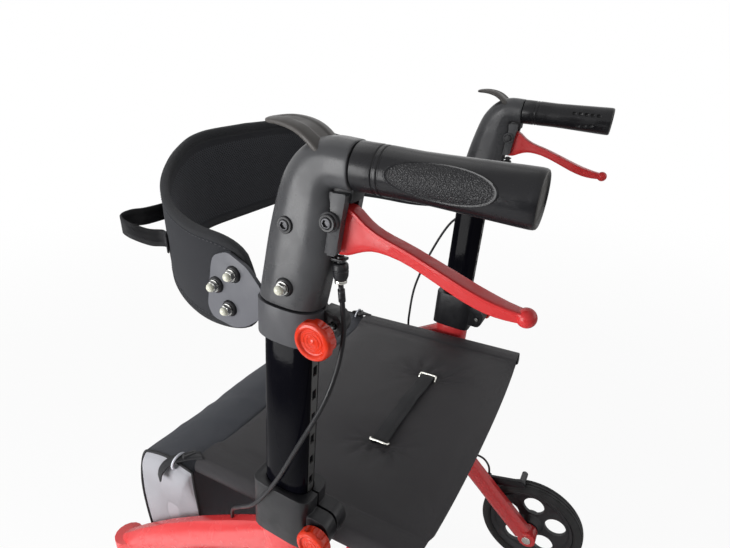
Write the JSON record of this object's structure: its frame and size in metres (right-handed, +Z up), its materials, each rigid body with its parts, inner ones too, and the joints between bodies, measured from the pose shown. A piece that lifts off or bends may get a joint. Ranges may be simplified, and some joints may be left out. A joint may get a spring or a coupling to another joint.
{
  "type": "four-wheel rollator",
  "caption": "Folding walking aid: red side frames on wheels, height-adjustable handles with brake levers, padded seat, curved backrest band and front storage bag.",
  "frame": {"origin": "on the ground under the middle of the overall box", "axes": "+X to the user's right, +Y forwards, +Z up"},
  "size_m": [0.6076, 0.67, 0.9397],
  "materials": {
    "red_paint": "gloss red paint",
    "gloss_black": "gloss black",
    "grey_housing": "satin charcoal",
    "black_plastic": "matte black",
    "knob_red": "gloss orange red",
    "lever_red": "satin red",
    "grip_rubber": "matte black rubber",
    "tyre": "matte black",
    "wheel_plastic": "satin black",
    "steel": "bright zinc",
    "black_screw": "black oxide",
    "seat_cloth": "black nylon",
    "webbing": "black webbing",
    "bag_cloth": "dark blue-grey nylon",
    "pad_cloth": "charcoal woven cloth"
  },
  "bodies": {
    "frame_left": {"side_frame_left": "red_paint", "clamp_collar_left": "black_plastic", "rail_saddle_left": "black_plastic", "brace_foot_bolt_left": "steel", "rear_axle_left": "steel", "lower_cable_left": "black_plastic", "brake_cable_left": "black_plastic", "storage_bag": "bag_cloth"},
    "height_knob_left": {"height_knob_left": "knob_red"},
    "handle_left": {"handle_tube_left": "gloss_black", "handle_housing_left": "grey_housing", "lever_bracket_left": "grey_housing", "lever_pivot_left": "black_screw", "cable_adjuster_left": "black_plastic", "grip_left": "grip_rubber"},
    "brake_lever_left": {"brake_lever_left": "lever_red"},
    "backrest_collar_left": {"backrest_collar_left": "grey_housing", "backrest_collar_inner_left": "black_plastic", "backrest_pad": "pad_cloth", "backrest_strap": "webbing"},
    "backrest_knob_left": {"backrest_knob_left": "knob_red"},
    "caster_left": {"caster_fork_left": "black_plastic", "front_axle_left": "steel"},
    "front_wheel_left": {"front_tyre_left": "tyre", "front_rim_left": "wheel_plastic"},
    "rear_wheel_left": {"rear_tyre_left": "tyre", "rear_rim_left": "wheel_plastic"},
    "brake_arm_left": {"brake_arm_left": "black_plastic"},
    "frame_right": {"side_frame_right": "red_paint", "clamp_collar_right": "black_plastic", "rail_saddle_right": "black_plastic", "brace_foot_bolt_right": "steel", "rear_axle_right": "steel", "lower_cable_right": "black_plastic", "brake_cable_right": "black_plastic"},
    "height_knob_right": {"height_knob_right": "knob_red"},
    "handle_right": {"handle_tube_right": "gloss_black", "handle_housing_right": "grey_housing", "lever_bracket_right": "grey_housing", "lever_pivot_right": "black_screw", "cable_adjuster_right": "black_plastic", "grip_right": "grip_rubber"},
    "brake_lever_right": {"brake_lever_right": "lever_red"},
    "backrest_collar_right": {"backrest_collar_right": "grey_housing", "backrest_collar_inner_right": "black_plastic"},
    "backrest_knob_right": {"backrest_knob_right": "knob_red"},
    "caster_right": {"caster_fork_right": "black_plastic", "front_axle_right": "steel"},
    "front_wheel_right": {"front_tyre_right": "tyre", "front_rim_right": "wheel_plastic"},
    "rear_wheel_right": {"rear_tyre_right": "tyre", "rear_rim_right": "wheel_plastic"},
    "brake_arm_right": {"brake_arm_right": "black_plastic"},
    "brace_a": {"cross_brace_a": "red_paint", "seat_rail_right": "gloss_black", "brace_bolt": "steel"},
    "brace_b": {"cross_brace_b": "red_paint", "seat_rail_left": "gloss_black", "seat_panel": "seat_cloth", "lift_strap": "webbing"}
  },
  "joints": [
    {"name": "fold", "type": "hinge", "parent": "frame_left", "child": "brace_a", "pos_m": [-0.215, -0.035, 0.262], "axis": [0, -1, 0], "range_deg": [0, 41], "deforming": ["seat_panel", "lift_strap", "backrest_pad", "backrest_strap", "storage_bag"]},
    {"name": "brace_cross", "type": "hinge", "parent": "brace_a", "child": "brace_b", "pos_m": [0, -0.02575, 0.38675], "axis": [0, -1, 0], "range_deg": [-82.01, 0]},
    {"name": "brace_foot", "type": "hinge", "parent": "brace_b", "child": "frame_right", "pos_m": [0.215, -0.0165, 0.262], "axis": [0, -1, 0], "range_deg": [0, 41.01]},
    {"name": "height_left", "type": "slide", "parent": "frame_left", "child": "handle_left", "axis": [0, -0.0802, 0.9968], "range_m": [-0.05, 0.05], "deforming": ["brake_cable_left"]},
    {"name": "height_knob_left", "type": "hinge", "parent": "frame_left", "child": "height_knob_left", "pos_m": [-0.25, -0.09178, 0.56022], "axis": [-1, 0, 0], "range_deg": [0, 360]},
    {"name": "brake_lever_left", "type": "hinge", "parent": "handle_left", "child": "brake_lever_left", "pos_m": [-0.25, -0.1111, 0.8715], "axis": [-1, 0, 0], "range_deg": [0, 18], "stiffness_Nm_per_rad": 1, "springref_deg": -5.73},
    {"name": "brake_arm_left", "type": "hinge", "parent": "frame_left", "child": "brake_arm_left", "pos_m": [-0.264, -0.1413, 0.1877], "axis": [1, 0, 0], "range_deg": [0, 2.26]},
    {"name": "backrest_height_left", "type": "slide", "parent": "handle_left", "child": "backrest_collar_left", "axis": [0, -0.0802, 0.9968], "range_m": [-0.05, 0]},
    {"name": "backrest_knob_left", "type": "hinge", "parent": "backrest_collar_left", "child": "backrest_knob_left", "pos_m": [-0.25, -0.10195, 0.78011], "axis": [-1, 0, 0], "range_deg": [0, 360]},
    {"name": "caster_swivel_left", "type": "hinge", "parent": "frame_left", "child": "caster_left", "pos_m": [-0.25, 0.255, 0.2885], "axis": [0, 0, 1], "continuous": true},
    {"name": "front_wheel_left", "type": "hinge", "parent": "caster_left", "child": "front_wheel_left", "pos_m": [-0.25, 0.208, 0.127], "axis": [1, 0, 0], "continuous": true},
    {"name": "rear_wheel_left", "type": "hinge", "parent": "frame_left", "child": "rear_wheel_left", "pos_m": [-0.2835, -0.235, 0.1], "axis": [1, 0, 0], "continuous": true},
    {"name": "height_right", "type": "slide", "parent": "frame_right", "child": "handle_right", "axis": [0, -0.0802, 0.9968], "range_m": [-0.05, 0.05], "deforming": ["brake_cable_right"]},
    {"name": "height_knob_right", "type": "hinge", "parent": "frame_right", "child": "height_knob_right", "pos_m": [0.25, -0.09178, 0.56022], "axis": [1, 0, 0], "range_deg": [0, 360]},
    {"name": "brake_lever_right", "type": "hinge", "parent": "handle_right", "child": "brake_lever_right", "pos_m": [0.25, -0.1111, 0.8715], "axis": [-1, 0, 0], "range_deg": [0, 18], "stiffness_Nm_per_rad": 1, "springref_deg": -5.73},
    {"name": "brake_arm_right", "type": "hinge", "parent": "frame_right", "child": "brake_arm_right", "pos_m": [0.264, -0.1413, 0.1877], "axis": [1, 0, 0], "range_deg": [0, 2.26]},
    {"name": "backrest_height_right", "type": "slide", "parent": "handle_right", "child": "backrest_collar_right", "axis": [0, -0.0802, 0.9968], "range_m": [-0.05, 0]},
    {"name": "backrest_knob_right", "type": "hinge", "parent": "backrest_collar_right", "child": "backrest_knob_right", "pos_m": [0.25, -0.10195, 0.78011], "axis": [1, 0, 0], "range_deg": [0, 360]},
    {"name": "caster_swivel_right", "type": "hinge", "parent": "frame_right", "child": "caster_right", "pos_m": [0.25, 0.255, 0.2885], "axis": [0, 0, 1], "continuous": true},
    {"name": "front_wheel_right", "type": "hinge", "parent": "caster_right", "child": "front_wheel_right", "pos_m": [0.25, 0.208, 0.127], "axis": [1, 0, 0], "continuous": true},
    {"name": "rear_wheel_right", "type": "hinge", "parent": "frame_right", "child": "rear_wheel_right", "pos_m": [0.2835, -0.235, 0.1], "axis": [1, 0, 0], "continuous": true}
  ],
  "couplings": [
    {"joint": "brace_cross", "follows": "fold", "ratio": -2},
    {"joint": "brace_foot", "follows": "fold", "ratio": 1},
    {"joint": "height_right", "follows": "height_left", "ratio": 1},
    {"joint": "backrest_height_right", "follows": "backrest_height_left", "ratio": 1},
    {"joint": "brake_arm_left", "follows": "brake_lever_left", "ratio": 0.125},
    {"joint": "brake_arm_right", "follows": "brake_lever_right", "ratio": 0.125}
  ]
}
